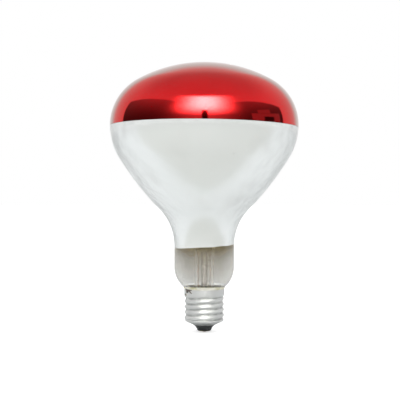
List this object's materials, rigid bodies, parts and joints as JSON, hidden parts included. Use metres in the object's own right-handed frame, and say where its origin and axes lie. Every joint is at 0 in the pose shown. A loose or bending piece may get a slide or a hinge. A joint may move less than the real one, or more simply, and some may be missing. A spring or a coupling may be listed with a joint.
{
  "type": "infrared heat lamp bulb",
  "caption": "Reflector heat lamp: red mirror-bright front dome, silvered cone, clear neck with the glass stem inside, and a screw cap.",
  "frame": {"origin": "on the lamp's axis, at the tip of the centre contact", "axes": "+Z from the cap to the crown of the dome along the lamp's axis, -Y to the front as pictured"},
  "size_m": [0.125, 0.125, 0.1782],
  "materials": {
    "clear_glass": "clear blown glass",
    "red_coat": "glossy transparent red over a mirror",
    "mirror_coat": "satin evaporated aluminium",
    "stem_glass": "clear drawn glass",
    "tungsten": "dull drawn wire",
    "support_wire": "drawn wire",
    "lead_wire": "copper-clad wire",
    "nickel_wire": "drawn nickel wire",
    "cap_aluminium": "rolled sheet, satin",
    "black_glass": "glossy black glass",
    "contact_brass": "dull pressed sheet",
    "solder": "smooth solder",
    "side_solder": "dark uneven solder with flux",
    "cement": "gritty fired cement"
  },
  "bodies": {
    "root": {"glass_bulb": "clear_glass", "red_coating": "red_coat", "reflector_coating": "mirror_coat", "stem_flare": "stem_glass", "exhaust_tube": "stem_glass", "arbor": "stem_glass", "filament": "tungsten", "outer_lead_side": "lead_wire", "outer_lead_centre": "lead_wire", "screw_shell": "cap_aluminium", "insulator": "black_glass", "centre_contact": "contact_brass", "centre_solder": "solder", "side_solder": "side_solder", "basing_cement": "cement", "seal_wire_1": "lead_wire", "seal_wire_2": "lead_wire", "inner_lead_1": "nickel_wire", "inner_lead_2": "nickel_wire", "filament_support_1": "support_wire", "filament_support_2": "support_wire", "filament_support_3": "support_wire", "filament_support_4": "support_wire", "filament_support_5": "support_wire"}
  },
  "joints": []
}
